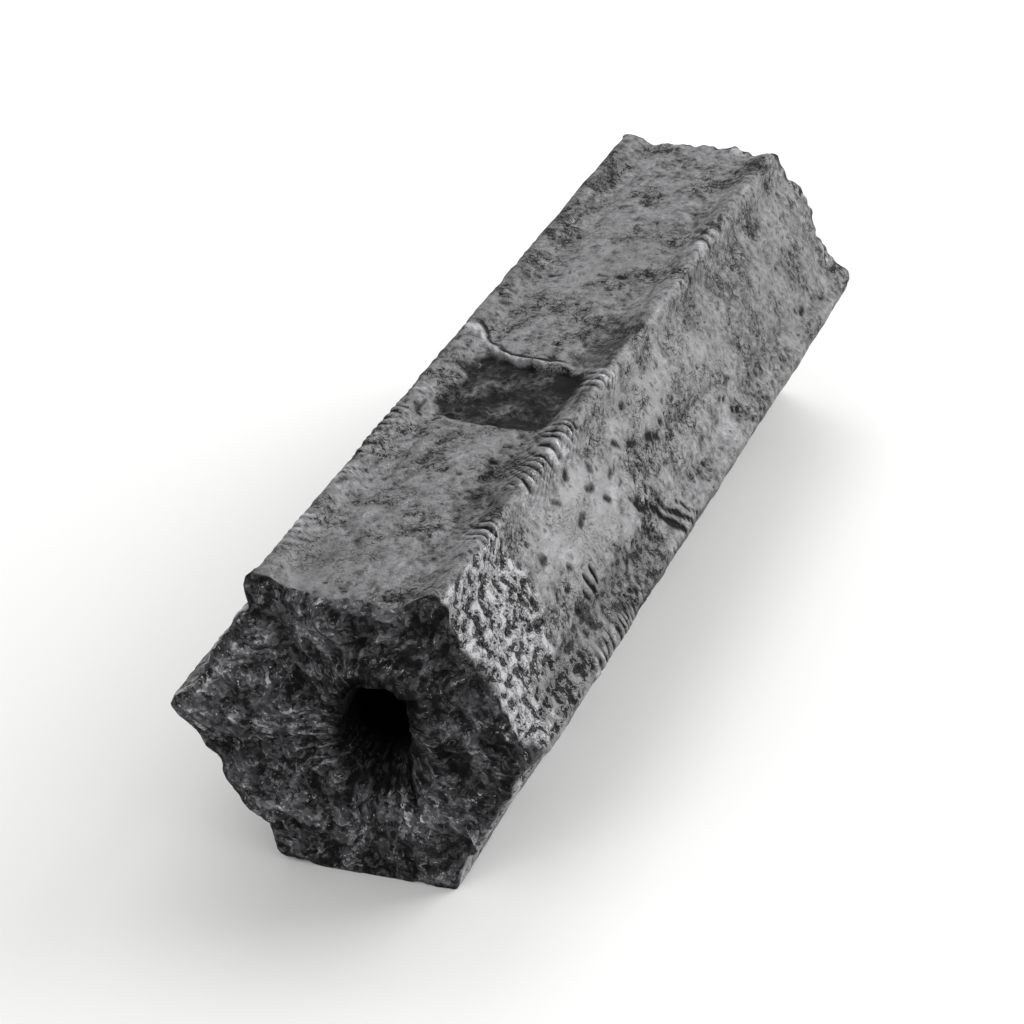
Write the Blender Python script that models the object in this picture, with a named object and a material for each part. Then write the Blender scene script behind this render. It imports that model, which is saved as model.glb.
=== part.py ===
# Hexagonal charcoal briquette: sawdust pressed through a six-sided die round a central rod, then
# charred, so it is one solid. It lies on one of its six long faces and its length runs along Y.
# Directions round the axis are counted in degrees from +X towards +Z.
import math

import bmesh
import bpy
from mathutils import Vector

# The whole stick, in metres
LENGTH = 0.150
AXIS_HEIGHT = 0.0214
SIDES = 6
SIDE_TURN = 360 / SIDES

# How far each long ridge would stand from the axis if it were sharp, from the one that points to +X
# and round by 60 degrees, and the radius that each is rounded to
RIDGE_REACH = (0.0255, 0.0256, 0.0251, 0.0264, 0.0254, 0.0255)
RIDGE_ROUNDING = 0.003

# Each long face between two ridges: a trough runs along beside each ridge, and the middle is sunk
# by its own amount. The stick lies on the fifth: its middle and its two ridges are worn flat there.
FACE_SINK = (0.0009, 0.0015, 0.0015, 0.0012, 0.0004, 0.0008)
TROUGH_DEPTH = 0.0005
TROUGH_FROM_RIDGE = 0.0046
TROUGH_HALF_WIDTH = 0.0019
SINK_STARTS = 0.0035

# The bore that the die's rod leaves, a little off the axis, with mouths broken wider at the ends
BORE_RADIUS = 0.0047
BORE_X = 0.0025
BORE_Z = 0.0005
MOUTH_EXTRA_TALL = 0.0022
MOUTH_DEPTH = 0.005

# A thin flake has come off the top face and left a shallow patch with a lip at its far edge. The
# width of the patch's sloping edge and the lip's reach are shares of the patch's half size.
FLAKE_X = -0.001
FLAKE_Y = -0.018
FLAKE_HALF_WIDTH = 0.0108
FLAKE_HALF_LENGTH = 0.0112
FLAKE_DEPTH = 0.0009
FLAKE_EDGE = 0.25
LIP_HEIGHT = 0.0006
LIP_HALF_WIDTH = 0.0018
LIP_REACH = 1.1

# The broken ends: hills and, where the height is negative, hollows of the fracture. Each has its
# place from the axis, its height and its half width. They fade out along the skin and the bore.
NEAR_HILLS = (
    (0.001, 0.0165, 0.0019, 0.0070),
    (-0.009, 0.0100, -0.0009, 0.0045),
    (-0.016, 0.0010, 0.0008, 0.0060),
    (-0.006, -0.0130, 0.0009, 0.0065),
    (0.013, 0.0060, -0.0007, 0.0060),
    (0.008, -0.0140, 0.0007, 0.0060),
    (0.021, -0.0010, 0.0006, 0.0040),
)
FAR_HILLS = (
    (-0.004, 0.0150, -0.0010, 0.0065),
    (0.012, 0.0120, 0.0011, 0.0055),
    (-0.015, 0.0050, 0.0012, 0.0060),
    (0.016, -0.0040, -0.0008, 0.0055),
    (0.004, -0.0140, 0.0010, 0.0065),
    (-0.012, -0.0110, -0.0007, 0.0050),
)
END_FADE = 0.007

# Chips off the rims of the ends and, where the depth is negative, burrs that stand out there:
# direction, half angle in degrees, depth in and reach along
NEAR_CHIPS = (
    (357, 12, 0.0012, 0.0045),
    (30, 12, 0.0006, 0.0022),
    (124, 5, -0.0010, 0.0030),
    (200, 8, 0.0010, 0.0030),
    (236, 17, 0.0016, 0.0045),
    (336, 9, 0.0008, 0.0030),
)
FAR_CHIPS = (
    (20, 9, 0.0009, 0.0028),
    (61, 10, 0.0016, 0.0050),
    (150, 14, 0.0010, 0.0035),
    (243, 9, -0.0006, 0.0030),
    (298, 8, 0.0015, 0.0045),
)

# How finely the surface is divided
POINTS_PER_SIDE = 10
ROWS_ALONG = 34
ROWS_AT_END = (0.0012, 0.0028)
BORE_ROWS = 12
END_RINGS = (0.94, 0.80, 0.60, 0.40, 0.20)

# The look of the charred skin, and the angle in degrees over which an edge is shaded sharp
CHARCOAL_COLOUR = (0.055, 0.055, 0.057, 1)
CHARCOAL_ROUGHNESS = 0.62
SHARP_ANGLE = 40


def clear_scene():
    for thing in list(bpy.data.objects):
        bpy.data.objects.remove(thing)


def smooth(value):
    """Rises smoothly from 0 to 1 as the value does."""
    share = min(max(value, 0), 1)
    return share * share * (3 - 2 * share)


def bump(distance, half_width):
    """A soft hill of height 1 at distance 0 that is nearly gone at two half widths."""
    return math.exp(-((distance / half_width) ** 2))


def angle_apart(first, second):
    """The smaller angle between two directions, in degrees."""
    return abs((first - second + 180) % 360 - 180)


def directions():
    """The directions of the points round one loop, closer together at the ridges."""
    found = []
    for side in range(SIDES):
        for step in range(POINTS_PER_SIDE):
            share = (1 - math.cos(math.pi * step / POINTS_PER_SIDE)) / 2
            found.append(SIDE_TURN * (side + share))
    return found


def straight_side(angle):
    """Where a plain flat side lies in this direction: its reach, its number and the distance
    along it from the nearer ridge."""
    side = int(angle // SIDE_TURN) % SIDES
    turned = math.radians(angle % SIDE_TURN)
    left = math.radians(SIDE_TURN) - turned
    first = RIDGE_REACH[side]
    second = RIDGE_REACH[(side + 1) % SIDES]
    to_first = first * math.sin(turned)
    to_second = second * math.sin(left)
    reach = first * second * math.sin(math.radians(SIDE_TURN)) / (to_first + to_second)
    share = to_first / (to_first + to_second)
    return reach, side, min(share, 1 - share) * (first + second) / 2


def profile(angle):
    """The reach of the pressed skin in this direction, the same all along the stick."""
    reach, side, from_ridge = straight_side(angle)
    tangent = RIDGE_ROUNDING * math.tan(math.radians(SIDE_TURN / 2))
    rounding = max(tangent - from_ridge, 0) ** 2 / (2 * RIDGE_ROUNDING)
    trough = TROUGH_DEPTH * bump(from_ridge - TROUGH_FROM_RIDGE, TROUGH_HALF_WIDTH)
    sink = FACE_SINK[side] * smooth(from_ridge / SINK_STARTS)
    return reach - rounding - trough - sink


def flake_scar(x, y):
    """How much the lost flake lowers the top face at this place, less the height of its lip."""
    across = abs(x - FLAKE_X) / FLAKE_HALF_WIDTH
    along = abs(y - FLAKE_Y) / FLAKE_HALF_LENGTH
    inside = smooth((1 - max(across, along)) / FLAKE_EDGE)
    lip_distance = y - FLAKE_Y - FLAKE_HALF_LENGTH
    lip = bump(lip_distance, LIP_HALF_WIDTH) * smooth((LIP_REACH - across) / FLAKE_EDGE)
    return FLAKE_DEPTH * inside - LIP_HEIGHT * lip


def chip_depth(chips, angle, from_end):
    """How deep the rim is chipped in this direction, this far from the end."""
    depth = 0
    for direction, half_angle, deep, reach in chips:
        across = smooth(1 - angle_apart(angle, direction) / half_angle)
        depth += deep * across * smooth(1 - from_end / reach)
    return depth


def skin_point(angle, y):
    """A point of the outer skin, measured from the axis."""
    from_near = y + LENGTH / 2
    from_far = LENGTH / 2 - y
    turn = math.radians(angle)
    reach = profile(angle)
    reach -= chip_depth(NEAR_CHIPS, angle, from_near)
    reach -= chip_depth(FAR_CHIPS, angle, from_far)
    if SIDE_TURN < angle < 2 * SIDE_TURN:
        reach -= flake_scar(reach * math.cos(turn), y)
    return Vector((reach * math.cos(turn), y, reach * math.sin(turn)))


def bore_point(angle, y):
    """A point of the bore's wall, measured from the axis."""
    to_end = LENGTH / 2 - abs(y)
    mouth = smooth(1 - to_end / MOUTH_DEPTH)
    turn = math.radians(angle)
    x = BORE_X + BORE_RADIUS * math.cos(turn)
    z = BORE_Z + (BORE_RADIUS + MOUTH_EXTRA_TALL * mouth) * math.sin(turn)
    return Vector((x, y, z))


def relief(hills, point):
    """How far a broken end stands out at this place."""
    height = 0
    for x, z, high, half_width in hills:
        height += high * bump(math.hypot(point.x - x, point.z - z), half_width)
    return height


def place(share, y, angle):
    """The point this share of the way from the bore's wall out to the skin, on the floor's frame."""
    point = bore_point(angle, y).lerp(skin_point(angle, y), share)
    near_fade = smooth(1 - (y + LENGTH / 2) / END_FADE)
    far_fade = smooth(1 - (LENGTH / 2 - y) / END_FADE)
    point.y += relief(FAR_HILLS, point) * far_fade - relief(NEAR_HILLS, point) * near_fade
    point.z = max(point.z + AXIS_HEIGHT, 0)
    return point


def skin_rows():
    """The places along the stick where the skin has a loop, from the near end to the far one."""
    near = -LENGTH / 2
    even = [near + LENGTH * row / ROWS_ALONG for row in range(ROWS_ALONG + 1)]
    extra = [near + step for step in ROWS_AT_END] + [-near - step for step in ROWS_AT_END]
    return sorted(even + extra)


def stations():
    """The loops in order round the wall, as shares of the way out from the bore and places along:
    the skin, the far end, the bore and the near end."""
    half = LENGTH / 2
    skin = [(1, y) for y in skin_rows()]
    far_end = [(share, half) for share in END_RINGS]
    bore = [(0, half - LENGTH * row / BORE_ROWS) for row in range(BORE_ROWS + 1)]
    near_end = [(share, -half) for share in reversed(END_RINGS)]
    return skin + far_end + bore + near_end


def add_loop(mesh, share, y):
    """The points of one closed loop round the wall."""
    return [mesh.verts.new(place(share, y, angle)) for angle in directions()]


def add_band(mesh, loop, following):
    """A band of four-sided faces from one loop to the next, all facing out."""
    for step in range(len(loop)):
        ahead = (step + 1) % len(loop)
        mesh.faces.new((loop[step], following[step], following[ahead], loop[ahead]))


def centre_on_floor(mesh):
    """Moves the points so that their box is centred over the origin. They stand on z = 0 already."""
    xs = [vert.co.x for vert in mesh.verts]
    ys = [vert.co.y for vert in mesh.verts]
    middle = Vector(((min(xs) + max(xs)) / 2, (min(ys) + max(ys)) / 2, 0))
    bmesh.ops.translate(mesh, verts=mesh.verts, vec=-middle)


def charcoal_material():
    material = bpy.data.materials.new("charcoal")
    material.use_nodes = True
    shader = material.node_tree.nodes["Principled BSDF"]
    shader.inputs["Base Color"].default_value = CHARCOAL_COLOUR
    shader.inputs["Roughness"].default_value = CHARCOAL_ROUGHNESS
    shader.inputs["Metallic"].default_value = 0
    return material


def make_briquette():
    """The whole stick: bands from each loop to the next, and from the last to the first."""
    mesh = bmesh.new()
    loops = [add_loop(mesh, share, y) for share, y in stations()]
    for loop, following in zip(loops, loops[1:] + loops[:1]):
        add_band(mesh, loop, following)
    centre_on_floor(mesh)
    data = bpy.data.meshes.new("briquette")
    mesh.to_mesh(data)
    mesh.free()
    data.shade_smooth()
    data.set_sharp_from_angle(angle=math.radians(SHARP_ANGLE))
    data.materials.append(charcoal_material())
    briquette = bpy.data.objects.new("briquette", data)
    bpy.context.scene.collection.objects.link(briquette)
    return briquette


clear_scene()
make_briquette()
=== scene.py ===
# %% [markdown]
# A hexagonal charcoal briquette, from the fixed frame to its finished surface.
#
# The real stick is damp sawdust that a screw pushes through a hot six-sided die, round a rod. The
# heat glazes the outside and the rod leaves a bore. The stick is broken to length and then charred.
# So it has three kinds of surface: the pressed skin, the broken ends and the sooty bore. The frame
# holds the stick as one plain solid. This file makes one fine mesh that stands for that solid.

# %% The fixed frame
import math

import bpy
import numpy as np
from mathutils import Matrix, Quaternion, Vector, noise


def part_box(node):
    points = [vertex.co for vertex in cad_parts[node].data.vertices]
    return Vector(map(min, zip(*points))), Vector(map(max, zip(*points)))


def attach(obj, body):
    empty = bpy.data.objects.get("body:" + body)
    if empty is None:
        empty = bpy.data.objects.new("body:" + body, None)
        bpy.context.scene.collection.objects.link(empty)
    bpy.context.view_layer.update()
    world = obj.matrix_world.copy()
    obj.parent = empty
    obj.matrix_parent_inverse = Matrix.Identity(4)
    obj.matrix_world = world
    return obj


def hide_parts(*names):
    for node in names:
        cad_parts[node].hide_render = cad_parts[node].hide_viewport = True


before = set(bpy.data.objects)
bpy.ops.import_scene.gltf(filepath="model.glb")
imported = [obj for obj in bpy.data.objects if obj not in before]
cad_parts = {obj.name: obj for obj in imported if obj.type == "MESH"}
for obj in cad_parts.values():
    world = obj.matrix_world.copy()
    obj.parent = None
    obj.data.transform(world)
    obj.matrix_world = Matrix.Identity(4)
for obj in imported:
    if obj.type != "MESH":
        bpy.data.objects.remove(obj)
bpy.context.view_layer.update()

MM = 0.001
LOW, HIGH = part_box("briquette")
print("the solid reaches from", [round(v / MM, 1) for v in LOW], "to", [round(v / MM, 1) for v in HIGH])

# %% [markdown]
# The sizes of the stick come first. They are those of the solid in the frame, apart from the bore's
# mouths: the solid has them broken taller by the same amount up and down, and here they are broken
# taller below than above. Six ridges are the corners of the die. Each long face is a little hollow,
# with a trough beside each ridge, because the hot sawdust springs back less there. Directions are
# counted from +X towards +Z, in degrees.

# %% Sizes of the pressed stick
LENGTH = 150 * MM
SIDES = 6
SIDE_TURN = 360 / SIDES
RIDGE_REACH = np.array((25.5, 25.6, 25.1, 26.4, 25.4, 25.5)) * MM
RIDGE_ROUNDING = 3.0 * MM
RIDGE_TANGENT = RIDGE_ROUNDING * math.tan(math.radians(SIDE_TURN / 2))
FACE_SINK = np.array((0.9, 1.5, 1.5, 1.2, 0.4, 0.8)) * MM
SINK_STARTS = 3.5 * MM
TROUGH_DEPTH = 0.5 * MM
TROUGH_FROM_RIDGE = 4.6 * MM
TROUGH_HALF_WIDTH = 1.9 * MM
BORE_RADIUS = 4.7 * MM
BORE_OFF = Vector((2.5 * MM, 0, 0.5 * MM))
MOUTH_EXTRA_UP = 1.3 * MM
MOUTH_EXTRA_DOWN = 2.4 * MM
MOUTH_DEPTH = 5.0 * MM

# The axis lies a worn 21.4 mm over the floor. The left ridge is the one that reaches furthest, so
# the box's left side says where the axis is. The near end stands out further than the far one.
LEFT_REACH = RIDGE_REACH[3] - RIDGE_TANGENT ** 2 / (2 * RIDGE_ROUNDING)
NEAR_REACHES_FURTHER = 0.376 * MM
AXIS = Vector((LOW.x + LEFT_REACH, NEAR_REACHES_FURTHER, 21.4 * MM))
print("the axis runs at x", round(AXIS.x / MM, 2), "and z", round(AXIS.z / MM, 2), "mm")

# %% [markdown]
# The wall is one closed skin: outside, over the far end, back through the bore and over the near
# end. It could be six faces that are cut up by hand, but then its ridges and its ends would be fine
# and its faces coarse. So it starts as a plain tube of narrow long strips. Bisecting it across gives
# it zones, and subdividing the long edges of a zone gives that zone rows as close as its detail
# needs: the near third has plates and high ripples, and the part behind it only low ones.

# %% A round tube in zones
AROUND = 288
TUBE_RADIUS = 25 * MM
ZONE_ENDS = np.array((0, 25, 50, 77, 142, 150)) * MM
ZONE_CUTS = (61, 60, 44, 54, 13)
SMALL = 0.01 * MM

bpy.context.tool_settings.mesh_select_mode = (False, True, False)
bpy.ops.object.select_all(action="DESELECT")
bpy.ops.mesh.primitive_cylinder_add(
    vertices=AROUND,
    radius=TUBE_RADIUS,
    depth=LENGTH,
    end_fill_type="NOTHING",
    location=(0, LENGTH / 2, 0),
    rotation=(math.radians(90), 0, 0),
)
stick = bpy.context.object
stick.name = "charcoal_stick"
bpy.ops.object.transform_apply(location=True, rotation=True, scale=True)
bpy.ops.object.mode_set(mode="EDIT")
for cut in ZONE_ENDS[1:-1]:
    bpy.ops.mesh.select_all(action="SELECT")
    bpy.ops.mesh.bisect(plane_co=(0, cut, 0), plane_no=(0, 1, 0))


def select_edges(wanted):
    """Selects the stick's edges whose two ends the rule wants, and leaves edit mode on."""
    bpy.ops.mesh.select_all(action="DESELECT")
    bpy.ops.object.mode_set(mode="OBJECT")
    places = [vertex.co.copy() for vertex in stick.data.vertices]
    found = 0
    for edge in stick.data.edges:
        edge.select = bool(wanted(places[edge.vertices[0]], places[edge.vertices[1]]))
        found += edge.select
    bpy.ops.object.mode_set(mode="EDIT")
    return found


for start, end, cuts in zip(ZONE_ENDS, ZONE_ENDS[1:], ZONE_CUTS):
    found = select_edges(lambda a, b: abs(min(a.y, b.y) - start) + abs(max(a.y, b.y) - end) < SMALL)
    bpy.ops.mesh.subdivide(number_cuts=cuts)
    print(found, "long edges from", start / MM, "to", end / MM, "mm are cut", cuts, "times")

# %% [markdown]
# Next come the ends and the bore. Each rim is extruded and drawn in to the width of the bore in one
# step. The long edges that this leaves are cut into rings, and bridging the two inner loops makes
# the bore. Nothing is left open, so the piece is one closed skin like the real one.

# %% The ends and the bore
END_CUTS = {0: 44, LENGTH: 35}
BORE_CUTS = 19
for rim, cuts in END_CUTS.items():
    select_edges(lambda a, b: abs(a.y - rim) < SMALL and abs(b.y - rim) < SMALL)
    bpy.ops.mesh.extrude_edges_move(TRANSFORM_OT_translate={"value": (0, 0, 0)})
    shrink = BORE_RADIUS / TUBE_RADIUS
    bpy.ops.transform.resize(value=(shrink, 1, shrink), center_override=(0, rim, 0))
    select_edges(lambda a, b: abs(a.xz.length - b.xz.length) > 5 * MM)
    bpy.ops.mesh.subdivide(number_cuts=cuts)
select_edges(lambda a, b: max(a.xz.length, b.xz.length) < BORE_RADIUS * 1.01)
bpy.ops.mesh.bridge_edge_loops(number_cuts=BORE_CUTS, interpolation="LINEAR")
bpy.ops.mesh.select_all(action="SELECT")
bpy.ops.mesh.normals_make_consistent(inside=False)
bpy.ops.object.mode_set(mode="OBJECT")
print("with ends and bore it has", len(stick.data.polygons), "faces")

# %% [markdown]
# Every point now knows where it belongs: how far round it is, how far along, and what share of the
# way out from the bore to the skin. These three numbers are kept, because every later step is a rule
# in them. An operator can't press a round tube into the die's outline, so the points are moved in
# code, as a sculptor's brush with a template would.

# %% Where each point belongs
count = len(stick.data.vertices)
points = np.zeros(count * 3)
stick.data.vertices.foreach_get("co", points)
points = points.reshape(count, 3)
from_axis = np.hypot(points[:, 0], points[:, 2])
angle = np.degrees(np.arctan2(points[:, 2], points[:, 0])) % 360
share = np.clip((from_axis - BORE_RADIUS) / (TUBE_RADIUS - BORE_RADIUS), 0, 1)
along = points[:, 1].copy()
from_near = along
from_far = LENGTH - along
to_end = np.minimum(from_near, from_far)
near_half = along < LENGTH / 2
on_skin = share > 0.999
on_bore = share < 0.001
print(count, "points, with", int(on_skin.sum()), "on the skin and", int(on_bore.sum()), "in the bore")


def smooth(value):
    """Rises smoothly from 0 to 1 as the value does."""
    kept = np.clip(value, 0, 1)
    return kept * kept * (3 - 2 * kept)


def bump(distance, half_width):
    """A soft hill of height 1 at distance 0."""
    return np.exp(-((distance / half_width) ** 2))


def angle_apart(direction):
    """How far round each point is from this direction, in degrees."""
    return np.abs((angle - direction + 180) % 360 - 180)


# %% [markdown]
# The die's outline is a hexagon with rounded corners and hollow sides. Between two ridges the
# straight side has a simple reach, and the rounding, the trough and the hollow are taken off it.

# %% The die's outline
side = (angle // SIDE_TURN).astype(int) % SIDES
turned = np.radians(angle % SIDE_TURN)
first_reach = RIDGE_REACH[side]
second_reach = RIDGE_REACH[(side + 1) % SIDES]
to_first = first_reach * np.sin(turned)
to_second = second_reach * np.sin(math.radians(SIDE_TURN) - turned)
straight = first_reach * second_reach * math.sin(math.radians(SIDE_TURN)) / (to_first + to_second)
share_of_side = to_first / (to_first + to_second)
from_first = share_of_side * (first_reach + second_reach) / 2
from_second = (1 - share_of_side) * (first_reach + second_reach) / 2
from_ridge = np.minimum(from_first, from_second)
ridge = np.where(from_first < from_second, side, (side + 1) % SIDES)

rounding = np.maximum(RIDGE_TANGENT - from_ridge, 0) ** 2 / (2 * RIDGE_ROUNDING)
trough = bump(from_ridge - TROUGH_FROM_RIDGE, TROUGH_HALF_WIDTH)
sink = FACE_SINK[side] * smooth(from_ridge / SINK_STARTS)
outline = straight - rounding - TROUGH_DEPTH * trough - sink
print("the outline reaches from", round(outline.min() / MM, 2), "to", round(outline.max() / MM, 2), "mm")

# %% [markdown]
# All the finer relief is random but fixed: it comes from Perlin noise and random cells, read at the
# place of each point in millimetres. So a pattern has the same size on every side and has no seam. A
# seed moves the places far off, so that each pattern is another one.

# %% Random hills and random cells
SEED_STEP = 17.3
NOISE_GAIN = 1.6
turn = np.radians(angle)
round_x = np.cos(turn)
round_z = np.sin(turn)
reach_now = BORE_RADIUS + (outline - BORE_RADIUS) * share
placed = np.stack((reach_now * round_x, along, reach_now * round_z), axis=1) / MM
print("patterns are read at", len(placed), "places")


def grain(size, seed):
    """Soft random hills from about -1 to 1, this many millimetres apart. X, Y and Z may differ."""
    spots = placed / size + SEED_STEP * seed
    return NOISE_GAIN * np.array([noise.noise(spot) for spot in spots.tolist()])


def layers(*rows):
    """Layers of random hills, added up. A row is a height, a size in millimetres and a seed."""
    total = 0
    for height, size, seed in rows:
        total = total + height * grain(size, seed)
    return total


def cells(size, seed):
    """Random cells of this size in millimetres: 0 on the lines between them, and up to 1 inside."""
    spots = placed / size + SEED_STEP * seed
    nearest = np.array([noise.voronoi(spot)[0][:2] for spot in spots.tolist()])
    return nearest[:, 1] - nearest[:, 0]


def across_size(size, longer):
    """A size for patterns that are longer across the stick than along it."""
    return np.array((size * longer, size, size * longer))


# %% [markdown]
# Where the stick was snapped, pieces of the rim chipped off, and one burr stayed on each end. These
# have the places and sizes that the solid has: a direction, a half angle, a depth and a reach along.
# A burr's depth is negative.

# %% Chips and burrs
NEAR_CHIPS = (
    (357, 12, 1.2, 4.5),
    (30, 12, 0.6, 2.2),
    (124, 5, -1.0, 3.0),
    (200, 8, 1.0, 3.0),
    (236, 17, 1.6, 4.5),
    (336, 9, 0.8, 3.0),
)
FAR_CHIPS = (
    (20, 9, 0.9, 2.8),
    (61, 10, 1.6, 5.0),
    (150, 14, 1.0, 3.5),
    (243, 9, -0.6, 3.0),
    (298, 8, 1.5, 4.5),
)


def chip_depth(chips, from_end):
    """How deep the rim is chipped at each point."""
    depth = np.zeros(count)
    for direction, half_angle, deep, reach in chips:
        across = smooth(1 - angle_apart(direction) / half_angle)
        depth += deep * MM * across * smooth(1 - from_end / (reach * MM))
    return depth


chipped = chip_depth(NEAR_CHIPS, from_near) + chip_depth(FAR_CHIPS, from_far)
print("chips go", round(chipped.max() / MM, 2), "mm deep")

# %% [markdown]
# A thin flake has come off the top face. Its near edge is a crisp step and its floor is rough. The
# scar's outline is four borders in millimetres, along the stick and out from the right-hand ridge.
# Noise makes them ragged, and a soft minimum of the distances inside them rounds the corners. Towards
# the left ridge both edges run slantwise.

# %% The scar on the top face
TOP_SIDE = 1
SCAR_NEAR = 48.3
SCAR_FAR = 66.8
SCAR_LEFT = 21.5
SCAR_RIGHT = 2.6
SCAR_RAGGED = (0.75, 0.9, 1.8, 0.9)
SCAR_CORNER = 1.1
SCAR_SLANT_FROM = 15.6
NEAR_SLANT = 0.35
FAR_SLANT = 0.95
SCAR_STEP = 0.7
SHADE_STEP = 1.4
SCAR_DEPTH = 0.65 * MM

along_mm = along / MM
out_mm = from_first / MM
wavy = layers((0.9, 4.0, 1), (0.9, 9.0, 40))
ragged = wavy + 0.5 * grain(1.6, 2)
past_slant = np.maximum(out_mm - SCAR_SLANT_FROM, 0)
scar_near_edge = SCAR_NEAR + NEAR_SLANT * past_slant + SCAR_RAGGED[0] * ragged
scar_far_edge = SCAR_FAR + FAR_SLANT * past_slant + SCAR_RAGGED[1] * ragged
scar_borders = (
    along_mm - scar_near_edge,
    scar_far_edge - along_mm,
    SCAR_LEFT + SCAR_RAGGED[2] * ragged - out_mm,
    out_mm - SCAR_RIGHT + SCAR_RAGGED[3] * ragged,
)
inside_scar = -SCAR_CORNER * np.log(sum(np.exp(-border / SCAR_CORNER) for border in scar_borders))
on_top = smooth((out_mm - 1.5) / 1.5) * (side == TOP_SIDE)
scar = smooth(0.5 + inside_scar / SCAR_STEP) * on_top
uneven_shade = np.clip(0.80 + 0.55 * grain(4.5, 39), 0.35, 1)
scar_shade = smooth(0.5 + inside_scar / SHADE_STEP) * on_top * uneven_shade
scar_floor = scar * layers((0.28, (1.3, 2.8, 1.3), 3), (0.25, 3.0, 4)) * MM
scar_x = placed[scar > 0.5, 0]
print("the scar lies between x", round(scar_x.min(), 1), "and", round(scar_x.max(), 1), "mm from the axis")

# %% [markdown]
# At the scar's far edge the skin curls up in a lip. It follows that edge as a smooth line, and ends
# in a small knob at the left ridge. Beyond it a dark line is painted in as the lip's shadow; it has
# no relief of its own. A hill across the line's distance gives such a lip.

# %% The lip beyond the scar
LIP_HEIGHT = 0.6 * MM
LIP_HALF_WIDTH = 0.55
LIP_PAST_SCAR = 0.5
LIP_SHADOW_PAST = 1.3
LIP_ENDS = (5.5, 24.5)
LIP_FADES = (3, 1.5)
KNOB_HEIGHT = 0.35 * MM
KNOB_ALONG = 74.6
KNOB_OUT = 24.2
KNOB_HALF_WIDTH = 1.2

lip_off = along_mm - (SCAR_FAR + FAR_SLANT * past_slant + SCAR_RAGGED[1] * wavy) - LIP_PAST_SCAR
in_lip = smooth((out_mm - LIP_ENDS[0]) / LIP_FADES[0]) * smooth((LIP_ENDS[1] - out_mm) / LIP_FADES[1])
in_lip = in_lip * (side == TOP_SIDE)
lip = bump(lip_off, LIP_HALF_WIDTH) * in_lip
lip_shadow = bump(lip_off - LIP_SHADOW_PAST, LIP_HALF_WIDTH) * in_lip
knob = bump(np.hypot(along_mm - KNOB_ALONG, out_mm - KNOB_OUT), KNOB_HALF_WIDTH) * (side == TOP_SIDE)
lip_along = along_mm[lip > 0.9]
print("the lip runs from", round(lip_along.min(), 1), "to", round(lip_along.max(), 1), "mm along")

# %% [markdown]
# The broken ends aren't flat. The stick snaps along its layers, so the end has low hills and
# hollows. They too are the solid's, each with its place from the axis, its height and half width.

# %% Hills on the ends
NEAR_HILLS = (
    (1.0, 16.5, 1.9, 7.0),
    (-9.0, 10.0, -0.9, 4.5),
    (-16.0, 1.0, 0.8, 6.0),
    (-6.0, -13.0, 0.9, 6.5),
    (13.0, 6.0, -0.7, 6.0),
    (8.0, -14.0, 0.7, 6.0),
    (21.0, -1.0, 0.6, 4.0),
)
FAR_HILLS = (
    (-4.0, 15.0, -1.0, 6.5),
    (12.0, 12.0, 1.1, 5.5),
    (-15.0, 5.0, 1.2, 6.0),
    (16.0, -4.0, -0.8, 5.5),
    (4.0, -14.0, 1.0, 6.5),
    (-12.0, -11.0, -0.7, 5.0),
)
HILL_FADE = 7.0 * MM

mouth = smooth(1 - to_end / MOUTH_DEPTH)
skin_reach = outline - chipped - SCAR_DEPTH * scar + LIP_HEIGHT * lip
bore_x = BORE_OFF.x + BORE_RADIUS * round_x
mouth_extra = np.where(round_z > 0, MOUTH_EXTRA_UP, MOUTH_EXTRA_DOWN)
bore_z = BORE_OFF.z + (BORE_RADIUS + mouth_extra * mouth) * round_z
x = bore_x + (skin_reach * round_x - bore_x) * share
z = bore_z + (skin_reach * round_z - bore_z) * share


def hill_height(hills):
    """How far a broken end stands out at each point."""
    height = np.zeros(count)
    for hill_x, hill_z, high, half_width in hills:
        height += high * MM * bump(np.hypot(x - hill_x * MM, z - hill_z * MM), half_width * MM)
    return height


y = along - LENGTH / 2
y = y + hill_height(FAR_HILLS) * smooth(1 - from_far / HILL_FADE)
y = y - hill_height(NEAR_HILLS) * smooth(1 - from_near / HILL_FADE)
placed = np.stack((x, y, z), axis=1) / MM
print("with its hills the stick is", round((y.max() - y.min()) / MM, 1), "mm long")

# %% [markdown]
# The pressed skin has its own fine relief. Steam that escapes as the stick leaves the die lifts the
# skin behind the snapped end, so that it stands in small plates with deep gaps between them. Their
# height is a random field with its top cut flat: what is over the cut is a plate, the rest is a gap.

# %% Plates behind the snapped ends
PLATE_SIZE = np.array((0.95, 1.35, 0.95))
PLATE_GAP_DEPTH = 0.36 * MM
PLATE_SHARE = 0.72
PLATE_EDGE = 0.8
PLATES_FROM_NEAR = np.array((25, 1, 9, 12, 8, 11)) * MM
PLATES_FROM_FAR = np.array((5, 4, 10, 6, 16, 9)) * MM
PLATES_FADE = 9 * MM
PLATES_VARY = 5 * MM

plates_reach = PLATES_VARY * grain(7, 5)
flaky = smooth((PLATES_FROM_NEAR[side] + plates_reach - from_near) / PLATES_FADE)
flaky = np.maximum(flaky, smooth((PLATES_FROM_FAR[side] + plates_reach - from_far) / PLATES_FADE))
flaky = flaky * smooth((from_ridge / MM + 0.4) / 2.0)
plate_field = layers((1, PLATE_SIZE, 6), (0.35, 3.2, 7))
plate_top = smooth(PLATE_SHARE + plate_field / PLATE_EDGE)
print("plates cover", round(100 * float((flaky * on_skin > 0.5).sum() / on_skin.sum())), "% of the skin")

# %% [markdown]
# In other places the die has polished the skin. It is smooth and pale there, with few marks. Each
# patch is a side, its middle along and out from the side's first ridge, its two half widths, and how
# well it is polished.

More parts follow.
